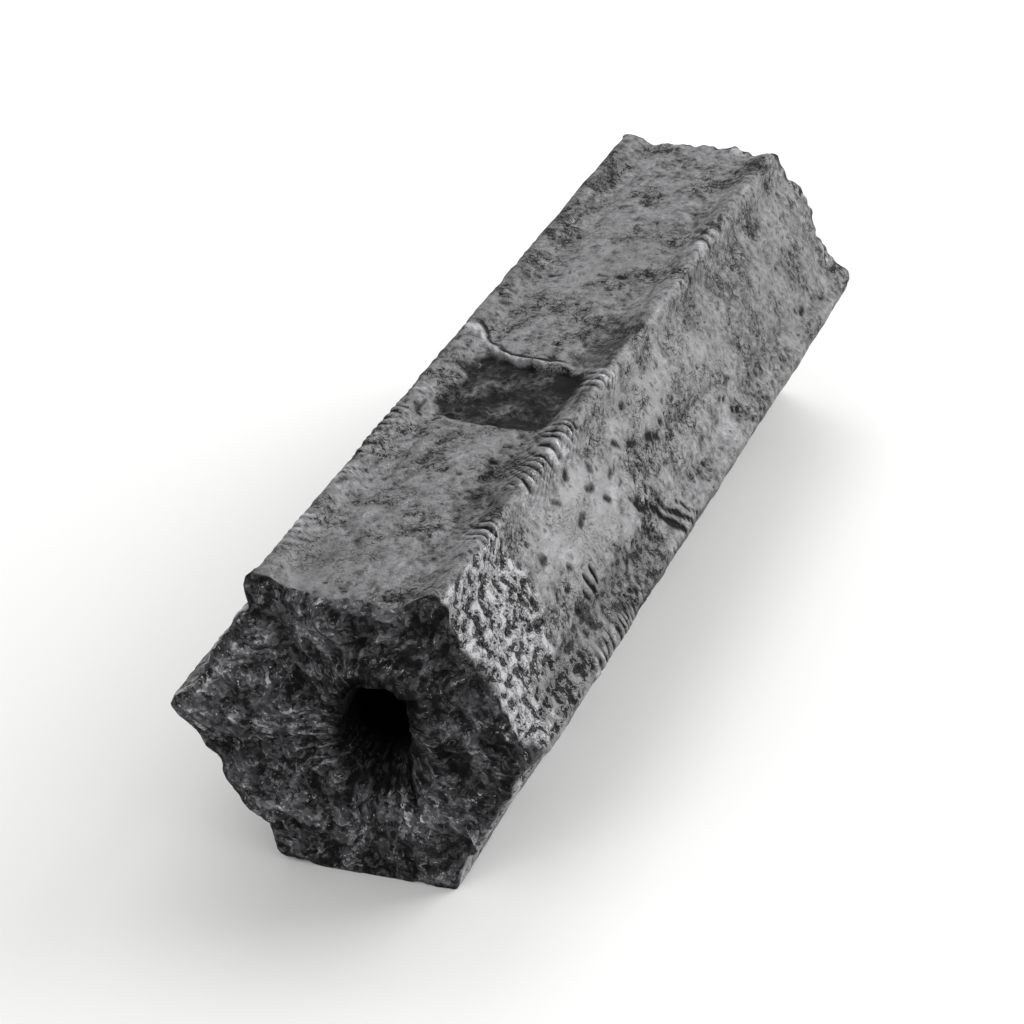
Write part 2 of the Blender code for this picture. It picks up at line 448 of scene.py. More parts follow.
# %% Polished patches
POLISHED = (
    (0, 40, 14.5, 17, 8, 1.0),
    (0, 66, 19.0, 12, 5, 0.8),
    (0, 92, 16.0, 18, 8, 0.65),
    (0, 126, 12.0, 26, 12, 0.6),
    (0, 10, 22.5, 12, 3, 0.8),
    (1, 5, 18.0, 7, 6, 0.8),
    (1, 44, 12.0, 5, 7, 0.5),
    (1, 104, 12.0, 20, 6, 0.6),
    (2, 60, 12.0, 26, 7, 0.8),
    (2, 118, 15.0, 18, 7, 0.7),
    (3, 50, 11.0, 20, 7, 0.9),
    (3, 112, 14.0, 20, 8, 0.7),
    (4, 75, 13.0, 40, 8, 0.8),
    (5, 46, 12.0, 22, 7, 0.8),
    (5, 104, 13.0, 24, 8, 0.8),
)
PATCH_REACH = 1.1
PATCH_EDGE = 0.4

polish_ragged = layers((0.35, 6, 34), (0.25, 2.2, 35))
polished = np.zeros(count)
for number, middle, out, half_along, half_out, strength in POLISHED:
    far_off = np.hypot((along_mm - middle) / half_along, (out_mm - out) / half_out)
    here = smooth((PATCH_REACH + polish_ragged - far_off) / PATCH_EDGE) * (side == number)
    polished = np.maximum(polished, strength * here)
polished = polished * (1 - flaky)
print("polished patches cover", round(100 * float((polished * on_skin > 0.4).sum() / on_skin.sum())), "%")

# %% [markdown]
# Stick and die grip and slip in turn, which leaves close ripples across a ridge, bent like a row of
# brackets. Each row in the table is a ridge, where its ripples start and end, and how high they are.

# %% Ripples across the ridges
RIPPLES = (
    (1, 13, 51, 0.42),
    (1, 57, 68, 0.30),
    (1, 92, 120, 0.14),
    (2, 6, 60, 0.12),
    (0, 18, 46, 0.16),
    (3, 12, 44, 0.20),
    (4, 66, 112, 0.16),
    (5, 24, 50, 0.18),
)
RIPPLE_SPACING = 1.9
RIPPLE_BEND = 0.26
RIPPLE_REACH = 2.4
RIPPLE_FADE = 4

ridge_mm = from_ridge / MM
ripple_phase = (along_mm - RIPPLE_BEND * ridge_mm ** 2) / RIPPLE_SPACING
ripple_phase = ripple_phase + 0.9 * grain(7, 8) + 0.2 * grain(2, 36)
ripple_wave = 2 * np.abs(np.sin(math.pi * ripple_phase)) - 1
ripple_strength = smooth(0.72 + 1.2 * grain(4.5, 9))
ripples = np.zeros(count)
for number, start, end, height in RIPPLES:
    here = bump(ridge_mm, RIPPLE_REACH) * (ridge == number)
    here = here * smooth((along_mm - start) / RIPPLE_FADE) * smooth((end - along_mm) / RIPPLE_FADE)
    ripples += height * (here * ripple_strength) * ripple_wave
print("the ripples rise and fall by up to", round(ripples.max(), 2), "mm")

# %% [markdown]
# Some places of the skin are darker in a band along a ridge, and torn a little there. On the top
# face the bands beside the right-hand ridge lie in its trough, and their darkness is painted shade. A
# band is a side, the ridge that it follows, its width, where it starts and ends, and how dark it is.

# %% Darker bands along the ridges
FIRST = 0
SECOND = 1
BANDS = (
    (0, FIRST, 6.6, 5, 57, 0.9),
    (0, FIRST, 4.5, 57, 100, 0.35),
    (0, FIRST, 30.0, 92, 160, 0.45),
    (0, SECOND, 2.2, 0, 30, 0.3),
    (1, FIRST, 6.6, 14, 50, 0.62),
    (1, FIRST, 7.4, 50, 69, 0.55),
    (1, FIRST, 7.0, 64, 88, 0.75),
    (1, FIRST, 6.0, 88, 150, 0.35),
    (1, SECOND, 3.0, 60, 150, 0.5),
    (2, FIRST, 5.0, 30, 110, 0.7),
    (3, SECOND, 6.5, 0, 84, 0.8),
    (4, FIRST, 5.0, 40, 150, 0.6),
    (5, SECOND, 7.0, 20, 100, 0.7),
    (5, FIRST, 4.0, 80, 150, 0.5),
)
BAND_EDGE = 1.2
BAND_FADE = 4

band_ragged = layers((1.3, across_size(3.0, 1.6), 10), (0.9, 1.3, 11))
band = np.zeros(count)
for number, by_second, width, start, end, dark in BANDS:
    out = (from_second if by_second else from_first) / MM
    here = smooth((width + band_ragged - out) / BAND_EDGE + 0.5) * (side == number)
    here = here * smooth((along_mm + 1.5 * band_ragged - start) / BAND_FADE)
    here = here * smooth((end - along_mm) / BAND_FADE)
    band = np.maximum(band, dark * here)
print("bands cover", round(100 * float((band * on_skin > 0.3).sum() / on_skin.sum())), "% of the skin")

# %% [markdown]
# Cracks and dark streaks run across the skin, and it has dents and small pits, where a coarse chip
# of wood shrank in the kiln. A crack is a side, its half width, how strong it is, and a line of
# places along and out. The dents of the right face have places of their own, and the hidden sides
# get some more cracks by a seeded draw.

# %% Cracks, dents and pits
CRACKS = (
    (0, 0.42, 1.0, ((57.0, 8.2), (59.4, 4.7), (61.2, 0.6))),
    (0, 0.40, 1.0, ((60.2, 6.2), (62.6, 3.2), (64.8, 0.3))),
    (0, 0.28, 0.7, ((64.6, 3.6), (67.2, 0.4))),
    (0, 0.42, 0.8, ((54.3, 8.6), (56.6, 7.2))),
    (0, 0.30, 0.7, ((52.6, 6.2), (55.4, 3.6))),
    (0, 0.36, 0.8, ((30.6, 8.6), (31.2, 6.6))),
    (0, 0.38, 0.9, ((33.0, 9.8), (33.6, 6.8))),
    (0, 0.42, 0.9, ((35.3, 10.2), (35.0, 7.0))),
    (0, 0.70, 0.35, ((73, 12.8), (80, 11.0), (91, 10.0))),
    (0, 0.28, 0.8, ((91, 7.5), (94, 4.5), (96, 1.5))),
    (0, 0.60, 0.6, ((128, 4.5), (131, 3.5))),
    (1, 0.80, 0.30, ((11, 15.4), (14, 17.4))),
    (1, 0.90, 0.32, ((19, 16.6), (23, 15.4))),
    (1, 0.85, 0.30, ((28, 17.6), (33, 15.7))),
    (1, 0.80, 0.34, ((35, 16.0), (39, 16.6))),
    (1, 0.80, 0.30, ((41, 15.7), (43.5, 15.0))),
    (1, 0.90, 0.36, ((26.5, 8.0), (29, 5.0))),
    (1, 0.35, 0.6, ((96, 22.0), (99, 16.0), (98, 9.0), (101, 4.0))),
)
DENTS = (
    (25.5, 16.2),
    (30.5, 12.3),
    (36.5, 20.0),
    (39.0, 14.8),
    (42.3, 20.9),
    (44.6, 17.2),
    (47.6, 13.9),
    (48.2, 18.7),
    (52.0, 15.5),
    (54.5, 9.0),
    (57.5, 18.0),
    (61.5, 15.8),
    (64.5, 20.5),
    (66.4, 13.9),
    (68.2, 13.4),
    (71.3, 14.0),
)
DENT_HALF_WIDTH = 0.65
MORE_CRACKS = 34
dice = np.random.default_rng(5)
all_cracks = list(CRACKS)
for along_dent, out_dent in DENTS:
    other_end = (along_dent + dice.uniform(0.3, 1.2), out_dent + dice.uniform(-0.6, 0.6))
    dent_line = ((along_dent, out_dent), other_end)
    all_cracks.append((0, DENT_HALF_WIDTH, dice.uniform(0.5, 0.75), dent_line))
for number in range(MORE_CRACKS):
    start = (dice.uniform(8, 142), dice.uniform(3, 20))
    step = (dice.uniform(-3, 3), dice.uniform(2, 7))
    end = (start[0] + step[0], start[1] + step[1])
    all_cracks.append((2 + number % 4, dice.uniform(0.25, 0.45), dice.uniform(0.25, 0.6), (start, end)))
crack_bend_along = 0.5 * grain(2.4, 12)
crack_bend_out = 0.5 * grain(2.4, 13)


def distance_to_line(start, end):
    """How far each point of the skin is from a straight piece of a crack, in millimetres."""
    run = np.subtract(end, start)
    off_along = along_mm + crack_bend_along - start[0]
    off_out = out_mm + crack_bend_out - start[1]
    passed = np.clip((off_along * run[0] + off_out * run[1]) / (run @ run), 0, 1)
    return np.hypot(off_along - passed * run[0], off_out - passed * run[1])


cracks = np.zeros(count)
for number, half_width, strength, line in all_cracks:
    for start, end in zip(line, line[1:]):
        here = bump(distance_to_line(start, end), half_width) * (side == number)
        cracks = np.maximum(cracks, strength * here)

PIT_CUT = 0.74
PIT_EDGE = 0.36
pit_field = grain((1.2, 1.5, 1.2), 14) - PIT_CUT + 0.30 * grain(9, 15)
pits = smooth(pit_field / PIT_EDGE) * (1 - flaky) * (1 - 0.3 * polished)
pitted = int((pits * on_skin > 0.5).sum())
print("there are", len(all_cracks), "cracks, streaks and dents, and", pitted, "points lie in pits")

# %% [markdown]
# Now the parts of the skin's relief are put together. Under them lies a gentle unevenness, and faint
# lines that the die drew along the stick.

# %% The skin's relief
CRACK_DEPTH = 0.45 * MM
PIT_DEPTH = 0.22 * MM
TORN_DEPTH = 0.16

uneven = layers((0.16, 13, 16), (0.09, 4, 17), (0.05, 1.5, 18))
die_lines = 0.05 * grain((1.6, 60, 1.6), 19)
torn = TORN_DEPTH * smooth(0.5 - grain(across_size(1.1, 3.0), 20)) * band
skin_relief = (uneven + die_lines + ripples - torn) * MM
skin_relief -= PLATE_GAP_DEPTH * (1 - plate_top) * flaky
skin_relief -= CRACK_DEPTH * cracks + PIT_DEPTH * pits
skin_relief += scar_floor + KNOB_HEIGHT * knob
lowest, highest = skin_relief.min() / MM, skin_relief.max() / MM
print("the skin's relief goes from", round(lowest, 2), "to", round(highest, 2), "mm")

# %% [markdown]
# The broken ends show the inside. The screw lays the sawdust down in a swirl, so the broken fibres
# run outwards from the bore in slightly bent streaks, with crumbs and black gaps between them. Noise
# that is read in polar coordinates gives such streaks: it changes fast round the bore and slowly
# outwards from it.

# %% Relief of the broken ends
FIBRES_ROUND = 10
FIBRE_LENGTH = 5.5 * MM
SWIRL = 0.35
END_FADE = 3.6 * MM
END_SHIFT = 40
CHUNK_HEIGHT = 0.65
FIBRE_HEIGHT = 0.38
CRUMB_HEIGHT = 0.26
SMALL_CRUMB_HEIGHT = 0.20
GAP_DEPTH = 0.60

out_x = x - BORE_OFF.x
out_z = z - BORE_OFF.z
outwards = np.hypot(out_x, out_z)
swirled = np.arctan2(out_z, out_x) + 0.22 * grain(8, 21) + SWIRL * outwards / TUBE_RADIUS


def swirl_places(fibres_round, fibre_length):
    """Places counted in fibres, round the bore and outwards. The two ends lie far apart in them."""
    outwards_in_fibres = outwards / fibre_length + END_SHIFT * near_half
    return np.stack(
        (fibres_round * np.cos(swirled), fibres_round * np.sin(swirled), outwards_in_fibres),
        axis=1,
    )


fibre_spots = swirl_places(FIBRES_ROUND, FIBRE_LENGTH)
fibres = NOISE_GAIN * np.array([noise.noise(spot) for spot in fibre_spots.tolist()])
chunks = grain(5.0, 22)
crumbs = 0.5 - 2.2 * np.abs(grain(2.6, 23))
small_crumbs = grain(1.2, 24)
gaps = smooth(1 - cells(3.2, 25) / 0.22) * smooth(0.6 + grain(6, 26))
end_relief = CHUNK_HEIGHT * chunks + FIBRE_HEIGHT * fibres + CRUMB_HEIGHT * crumbs
end_relief = end_relief + SMALL_CRUMB_HEIGHT * small_crumbs - GAP_DEPTH * gaps
print("the ends' relief goes from", round(end_relief.min(), 2), "to", round(end_relief.max(), 2), "mm")

# %% [markdown]
# The bore's mouths are broken wide and rounded over, and cracks run out from them. A crack is its
# end, 1 for the near one and 0 for the far one, its direction from the bore, where it starts and
# ends, and how deep it is.

# %% Mouths of the bore
MOUTH_SINK = 1.7
MOUTH_SPREAD = 3.6 * MM
MOUTH_CRACKS = (
    (1, 42, 4.0, 9.5, 1.1),
    (1, 303, 5.0, 13.0, 1.0),
    (1, 134, 12.0, 24.0, 0.4),
    (0, 80, 5.0, 12.0, 1.0),
    (0, 200, 5.0, 14.0, 0.9),
    (0, 325, 6.0, 11.0, 1.0),
)
CRACK_HALF_WIDTH = 0.65
mouth_cracks = np.zeros(count)
crack_bend = 0.9 * grain(4, 27)
for at_near, direction, start, end, deep in MOUTH_CRACKS:
    course = math.radians(direction)
    out = (out_x * math.cos(course) + out_z * math.sin(course)) / MM
    off = (out_z * math.cos(course) - out_x * math.sin(course)) / MM + crack_bend
    here = bump(off, CRACK_HALF_WIDTH) * (near_half == bool(at_near))
    here = here * smooth((out - start + 2) / 2) * smooth((end - out) / 3)
    mouth_cracks = np.maximum(mouth_cracks, here * deep)
mouth_edge = np.hypot(out_x, out_z * BORE_RADIUS / (BORE_RADIUS + mouth_extra)) - BORE_RADIUS
in_mouth = smooth(1 - mouth_edge / MOUTH_SPREAD)
end_relief = end_relief * (1 - 0.5 * in_mouth)
end_relief -= MOUTH_SINK * in_mouth ** 2 * (0.75 + 0.35 * grain(3, 28)) + mouth_cracks
print("the mouths spread", MOUTH_SPREAD / MM, "mm and have", len(MOUTH_CRACKS), "cracks")

# %% [markdown]
# The bore is where the rod slid out and the smoke went through. Its wall is lumpy and covered with
# soot, and the material blackens it further inwards as painted shade. Here the relief is pushed away
# from the bore's own axis. The rims of the ends crumble, but their lower left part, seen from the
# near end, broke cleanly, so the relief is calmed there.

# %% Relief of the bore, and everything put together
BORE_LUMPS = 0.35
RIM_CRUMBS = 0.45
RIM_FADE = 1.5 * MM
CALM = 0.88
CALM_FROM = 170
CALM_TO = 310
CALM_FADE = 15
FAR_END_PUSH = 0.8

bore_relief = BORE_LUMPS * (grain(3.5, 29) + 0.5 * grain(1.4, 30)) * MM
end_fade = smooth(1 - to_end / END_FADE)
rim_fade = smooth(1 - to_end / RIM_FADE)
calm_rim = CALM * smooth((share - 0.86) / 0.12)
calm_rim = 1 - calm_rim * smooth((angle - CALM_FROM) / CALM_FADE) * smooth((CALM_TO - angle) / CALM_FADE)
rim_crumbs = RIM_CRUMBS * MM * rim_fade * (0.3 + 0.8 * grain(3.2, 31) + 0.6 * grain(1.3, 37))
rim_crumbs = rim_crumbs * smooth((share - 0.9) / 0.1) * calm_rim

skin_push = (skin_relief * (1 - 0.4 * rim_fade) - rim_crumbs) * smooth((share - 0.85) / 0.15)
x = x + (skin_push + bore_relief * on_bore) * round_x
z = z + (skin_push + bore_relief * on_bore) * round_z
y = y + np.where(near_half, -1, FAR_END_PUSH) * end_relief * calm_rim * end_fade * MM
final = np.stack((x + AXIS.x, y + AXIS.y, np.maximum(z + AXIS.z, 0)), axis=1)
stick.data.vertices.foreach_set("co", final.ravel())
stick.data.update()
print("the stick reaches from", (final.min(0) / MM).round(2), "to", (final.max(0) / MM).round(2))

# %% [markdown]
# A touch of smoothing takes off what only the grid of the mesh made. The long ridges and the rims
# keep their shape, because the smoothing is slight. Smooth shading then hides the single faces.

# %% A light smoothing
bpy.ops.object.select_all(action="DESELECT")
stick.select_set(True)
bpy.context.view_layer.objects.active = stick
soften = stick.modifiers.new("soften", "SMOOTH")
soften.factor = 0.25
soften.iterations = 1
bpy.ops.object.modifier_apply(modifier=soften.name)
bpy.ops.object.shade_smooth()
print("the finished mesh has", sum(len(face.vertices) - 2 for face in stick.data.polygons), "triangles")

# %% [markdown]
# The material needs to know which kind of surface it is on. Each kind is kept as an attribute of the
# mesh's points, from 0 to 1, so that the colours follow the shape exactly on every side. "Fracture"
# is broken inside: the ends, the chips and one torn corner. Another number makes parts of the ends
# darker: the right, the bottom, the top, two spots near the top rim and the torn corner. "Depth" is
# how far a point lies in a gap, a crack or a pit, and it also holds the dark line painted as shade
# beyond the lip. The ripples' crests, the lip and the knob are kept for a painted highlight, and the
# ripples' hollows for painted shade.

# %% Kinds of surface
TORN_CORNER = 126
DARKER_SPOTS = (
    (-13, 19, 7),
    (12, 19, 6),
)
x_mm = x / MM
z_mm = z / MM
chip_shows = smooth(np.abs(chipped) / (0.6 * MM)) * smooth(1 - to_end / (4.5 * MM))
edge_shows = smooth(1 - to_end / (0.5 * MM) + 0.3 * grain(1.5, 32))
corner_shows = smooth(1 - angle_apart(TORN_CORNER) / 9) * smooth((3.4 - along_mm) / 1.5)
fracture = np.where(on_skin, np.maximum.reduce((chip_shows, edge_shows, corner_shows)), 1.0)
# The ends are made darker on the right, at the bottom, along the top, at two spots and the torn corner.
end_darkening = smooth((x_mm - 4) / 7) * smooth((z_mm + 12) / 6) + 0.6 * corner_shows + 0.35 * grain(5, 38)
end_darkening += sum(
    smooth(1 - np.hypot(x_mm - spot_x, z_mm - spot_z) / radius)
    for spot_x, spot_z, radius in DARKER_SPOTS
)
end_darkening += 0.5 * smooth((-z_mm - 8) / 8) + 0.5 * smooth((z_mm - 14) / 4)
# Soot and painted shade: blacker deeper in the bore, round the mouths, most on their upper rim, and in
# cracks.
bore_soot_and_shade = 0.42 + 0.58 * smooth(to_end / (7 * MM))
mouth_soot_and_shade = (0.62 + 0.38 * smooth(out_z / (4 * MM))) * in_mouth ** 2 * (0.85 + 0.4 * grain(2.5, 33))
soot_and_shade = np.where(on_bore, bore_soot_and_shade, mouth_soot_and_shade * ~on_skin)
soot_and_shade = np.maximum(soot_and_shade, np.clip(mouth_cracks, 0, 0.9) * end_fade * ~on_skin)
# Painted shade in recesses: cracks, dents, pits and the line beyond the lip; some cracks are real streaks.
depth = np.maximum.reduce((cracks, 0.45 * pits, 0.75 * lip_shadow))
# Painted highlight: the lip, the knob and the ripples' crests are made paler in the tone.
crest_highlight = np.maximum.reduce((lip, knob, 0.65 * np.clip(ripples / 0.12, 0, 1)))
# Painted shade: the ripples' hollows are made darker in the tone.
ripple_hollow_shade = np.clip(-ripples / 0.10, 0, 1)
print("broken inside shows on", int((fracture * on_skin > 0.5).sum()), "points of the skin")

# %% [markdown]
# An attribute is the plainest way to hand such numbers to a material: it needs no unwrapping and no
# picture. The twelve kinds are single numbers. One more attribute is a vector, the place of each
# point in the swirl, for the fine fibres of the ends.

# %% Attributes for the material
FIBRES_FINE = 11
FINE_LENGTH = 3.0 * MM


def keep(name, values):
    """Keeps one number from 0 to 1 on each point of the stick."""
    attribute = stick.data.attributes.new(name, "FLOAT", "POINT")
    attribute.data.foreach_set("value", np.clip(values, 0, 1).astype(np.float32))


keep("fracture", fracture)
keep("soot_and_shade", soot_and_shade)
keep("scar", scar_shade * on_skin)
keep("flaky", flaky * on_skin)
keep("plate", 0.5 + 0.5 * plate_field)
keep("polished", np.maximum(polished, 0.2 * scar_shade) * on_skin)
keep("end_darkening", end_darkening * np.where(near_half, 1.0, 0.3))
keep("band", band * on_skin)
keep("depth", depth * on_skin)
keep("crest_highlight", crest_highlight * on_skin)
keep("ripple_hollow_shade", ripple_hollow_shade * on_skin)
# The ends' relief is kept for the bump and for painted light and shade: hills paler, hollows darker.
keep("end_height", 0.5 + 0.4 * end_relief)
fibre_place = swirl_places(FIBRES_FINE, FINE_LENGTH)
attribute = stick.data.attributes.new("fibre_place", "FLOAT_VECTOR", "POINT")
attribute.data.foreach_set("vector", fibre_place.astype(np.float32).ravel())
print("the stick's points keep the fine fibres' place and 12 numbers each")

# %% [markdown]
# The material is carbonised sawdust. It is one substance in three states. The pressed skin is dense
# and has a graphite sheen, grey where it catches light and black in its gaps. The broken inside is
# open and almost black, with short glints where a fibre lies flat. Soot is blacker still and quite
# matt, and the same black is painted as shade deeper in the bore, round the mouths, most on their
# upper rim, and in the cracks at the mouths. Nothing has a hue: the greys are neutral.
#
# Every pattern is read in millimetres, so its scale is a real size. One small function adds a node,
# with its settings, its links and, for a ramp, its steps.

# %% The material and its helpers
charcoal = bpy.data.materials.new("carbonised_sawdust")
charcoal.use_nodes = True
tree = charcoal.node_tree
tree.nodes.clear()


def linear(hex_colour):
    """An sRGB hex colour as linear red, green, blue and alpha."""
    parts = [int(hex_colour[index:index + 2], 16) / 255 for index in (1, 3, 5)]
    return [part / 12.92 if part <= 0.04045 else ((part + 0.055) / 1.055) ** 2.4 for part in parts] + [1]


def add(kind, inputs=None, steps=(), **settings):
    """Adds a node to the charcoal. Inputs go by name or number, and hold a value or what to link. A
    step of a ramp is a position with a hex colour or a plain level."""
    node = tree.nodes.new(kind)
    for number, (position, colour) in enumerate(steps):
        elements = node.color_ramp.elements
        element = elements[number] if number < 2 else elements.new(position)
        element.position = position
        element.color = linear(colour) if isinstance(colour, str) else (colour, colour, colour, 1)
    for name, value in settings.items():
        setattr(node, name, value)
    for name, value in (inputs or {}).items():
        if isinstance(value, bpy.types.Node):
            tree.links.new(value.outputs[0], node.inputs[name])
        elif isinstance(value, bpy.types.NodeSocket):
            tree.links.new(value, node.inputs[name])
        else:
            node.inputs[name].default_value = value
    return node


MATH = "ShaderNodeMath"
VECTOR = "ShaderNodeVectorMath"
NOISE = "ShaderNodeTexNoise"
FLAKES = "ShaderNodeTexVoronoi"
RANGE = "ShaderNodeMapRange"
MIX = "ShaderNodeMix"
RAMP = "ShaderNodeValToRGB"
print("a middle grey, #808080, is", round(linear("#808080")[0], 3), "as linear light")

# %% [markdown]
# Object coordinates are metres, so a Mapping node turns them into millimetres. A second one makes
# them a little shorter along the stick, which draws a pattern out the way the die does. The masks
# are the numbers that the mesh keeps.

# %% Carbonised sawdust: its coordinates and masks
PER_METRE = 1 / MM
DRAWN_OUT = 0.78 * PER_METRE
SKIN_MASKS = ("scar", "flaky", "plate", "polished", "band", "depth", "crest_highlight", "ripple_hollow_shade")
END_MASKS = ("fracture", "soot_and_shade", "end_height", "end_darkening")

in_metres = add("ShaderNodeTexCoord").outputs["Object"]
in_mm = add("ShaderNodeMapping", {"Vector": in_metres, "Scale": (PER_METRE,) * 3})
drawn = add("ShaderNodeMapping", {"Vector": in_metres, "Scale": (PER_METRE, DRAWN_OUT, PER_METRE)})
mask = {
    name: add("ShaderNodeAttribute", attribute_name=name).outputs["Fac"]
    for name in SKIN_MASKS + END_MASKS
}
print("the material reads", len(mask), "masks")

# %% [markdown]
# The tone of the pressed skin is one number from 0, black, to 1, the palest plate. It starts at one
# half and patterns of four sizes move it: blotches 7 mm wide, a mottle of 2 mm and a grain of 1 mm
# that the die has drawn out a little along the stick, and dust. Their mean is one half, so they are
# counted from there. A row has the coordinates, the size, the noise's own settings and the weight.

# %% Carbonised sawdust: the tone of the pressed skin
PATTERNS = (
    (in_mm, 7.0, 2, 0.5, 0.0, 0.50),
    (drawn, 2.1, 2, 0.5, 0.45, 0.72),
    (drawn, 0.9, 2, 0.55, 0.2, 0.78),
    (in_mm, 0.28, 2, 0.6, 0.0, 0.32),
)
patterns = []
skin_tone = 0.5 - sum(row[-1] for row in PATTERNS) / 2
for vector, size, detail, roughness, distortion, weight in PATTERNS:
    settings = {"Scale": 1 / size, "Detail": detail, "Roughness": roughness, "Distortion": distortion}
    pattern = add(NOISE, {"Vector": vector, **settings})
    patterns.append(pattern)
    skin_tone = add(MATH, {0: pattern, 1: weight, 2: skin_tone}, operation="MULTIPLY_ADD")
blotches, mottle, fine_grain, dust = patterns
print("the skin's tone is made of", len(patterns), "patterns")

# %% [markdown]
# Thin curly wrinkles run over the skin where a second noise passes its middle value. There are more
# of them in the darker blotches, and none in the paler ones. Where the skin is polished the pattern
# is calmed: most of it is mixed with a plain tone, and the best polished places are paler too. Dark
# specks come last, because the polished places in the photo have them as well.

# %% Carbonised sawdust: wrinkles, polish and specks
WRINKLE_SIZE = 1.1
WRINKLES_DARKEN = 0.35
SPECK_SIZE = 0.9
SPECKS_DARKEN = 0.17
CALM_SHARE = 0.68
CALM_BLOTCHES = 0.22

wrinkle_noise = add(NOISE, {"Vector": drawn, "Scale": 1 / WRINKLE_SIZE, "Detail": 2, "Distortion": 0.8})
wrinkle_off = add(MATH, {0: wrinkle_noise, 1: 0.5}, operation="SUBTRACT")
wrinkle_gap = add(MATH, {0: wrinkle_off}, operation="ABSOLUTE")
wrinkle_line = add(
    RANGE,
    {"Value": wrinkle_gap, "From Min": 0.005, "From Max": 0.04, "To Min": 1, "To Max": 0},
)
wrinkled = add(
    RANGE,
    {"Value": blotches, "From Min": 0.42, "From Max": 0.52, "To Min": WRINKLES_DARKEN, "To Max": 0},
)
wrinkles = add(MATH, {0: wrinkle_line, 1: wrinkled}, operation="MULTIPLY")
rough_tone = add(MATH, {0: skin_tone, 1: wrinkles}, operation="SUBTRACT")
paler = add(RANGE, {"Value": mask["polished"], "From Min": 0.6, "To Min": 0.38, "To Max": 0.52})
calm_tone = add(MATH, {0: blotches, 1: CALM_BLOTCHES, 2: paler}, operation="MULTIPLY_ADD")
calm_share = add(MATH, {0: mask["polished"], 1: CALM_SHARE}, operation="MULTIPLY")
calmed_tone = add(MIX, {"Factor": calm_share, "A": rough_tone, "B": calm_tone}, data_type="FLOAT")
speck_noise = add(NOISE, {"Vector": in_mm, "Scale": 1 / SPECK_SIZE, "Detail": 2, "Roughness": 0.5})
specks = add(
    RANGE,
    {"Value": speck_noise, "From Min": 0.28, "From Max": 0.38, "To Min": SPECKS_DARKEN, "To Max": 0},
)
marked_tone = add(MATH, {0: calmed_tone.outputs["Result"], 1: specks}, operation="SUBTRACT")
print(len(tree.nodes), "nodes so far")

# %% [markdown]
# The plates are pale on top, which is partly a painted sheen, their gaps are black, which is painted
# shade, and a thin dark line runs round inside each plate's edge, where its layer lifts. The mesh
# knows where the plates are, but only to half a millimetre, so a fine noise is added to that field
# before it is read. That gives each plate a crisp, broken edge that still follows the relief. A ramp
# of greys is the curve from field to tone.

# %% Carbonised sawdust: plates and gaps
PLATE_SHEEN_AND_GAP_SHADE = (
    (0.20, 0.00),
    (0.27, 0.18),
    (0.33, 0.42),
    (0.37, 0.18),
    (0.42, 0.13),
    (0.47, 0.76),
    (0.55, 0.86),
    (0.58, 0.44),
    (0.61, 0.86),
    (0.74, 0.95),
)
DUST_ON_PLATES = 0.35

plate_noise = add(NOISE, {"Vector": in_mm, "Scale": 1.0, "Detail": 1.5, "Distortion": 1.4})
plate_edge_1 = add(MATH, {0: mask["plate"], 1: 0.6, 2: -0.24}, operation="MULTIPLY_ADD")
plate_edge_2 = add(MATH, {0: plate_noise, 1: 0.8, 2: plate_edge_1}, operation="MULTIPLY_ADD")
plate_edge = add(MATH, {0: dust, 1: 0.12, 2: plate_edge_2}, operation="MULTIPLY_ADD")
# Painted light in the plates' curve: pale tops are partly painted sheen, black gaps painted shade.
plate_sheen_and_shade = add(RAMP, {"Fac": plate_edge}, PLATE_SHEEN_AND_GAP_SHADE)
plate_dust = {0: dust, 1: DUST_ON_PLATES, 2: plate_sheen_and_shade.outputs["Color"]}
plate_grain = add(MATH, plate_dust, operation="MULTIPLY_ADD")
plate_final = add(MATH, {0: plate_grain, 1: DUST_ON_PLATES / 2}, operation="SUBTRACT")
flaky_share = add(MATH, {0: fine_grain, 1: 0.8, 2: mask["flaky"]}, operation="MULTIPLY_ADD")
flaky_cut = add(RANGE, {"Value": flaky_share, "From Min": 0.52, "From Max": 1.05})
plated_tone = add(MIX, {"Factor": flaky_cut, "A": marked_tone, "B": plate_final}, data_type="FLOAT")
print("the curve of the plates has", len(plate_sheen_and_shade.color_ramp.elements), "steps")

# %% [markdown]
# Bands, the scar's floor, ripples, cracks and pits shift the tone. Along the top face's right-hand
# ridge the bands are painted shade in the trough. The ripples' crests, the lip and the knob are
# painted paler as a highlight, and the ripples' hollows, the cracks, the pits and the line beyond the
# lip darker as painted shade. The masks of the bands and of the depths are sharpened with the grain
# before they act, so that they end in a crumbly edge. Where a band is darkest the skin is torn, and
# it gets a dark version of the plates.

# %% Carbonised sawdust: bands, scar, ripples and cracks
BAND_AND_TROUGH_SHADE_SHIFT = -0.36
SCAR_SHIFT = -0.37
CREST_HIGHLIGHT_SHIFT = 0.55
RIPPLE_HOLLOW_SHADE_SHIFT = -0.30
RECESS_SHADE_DARKENS = 0.5
SKIN_GREYS = (
    (0.05, "#0a0a0a"),
    (0.28, "#262627"),
    (0.50, "#49494b"),
    (0.72, "#656568"),
    (0.95, "#969699"),
)

band_edge = add(MATH, {0: mottle, 1: 0.8, 2: mask["band"]}, operation="MULTIPLY_ADD")
band_cut = add(RANGE, {"Value": band_edge, "From Min": 0.5, "From Max": 1.2})
band_here = add(MATH, {0: band_cut, 1: mask["band"]}, operation="MULTIPLY")
plated = plated_tone.outputs["Result"]
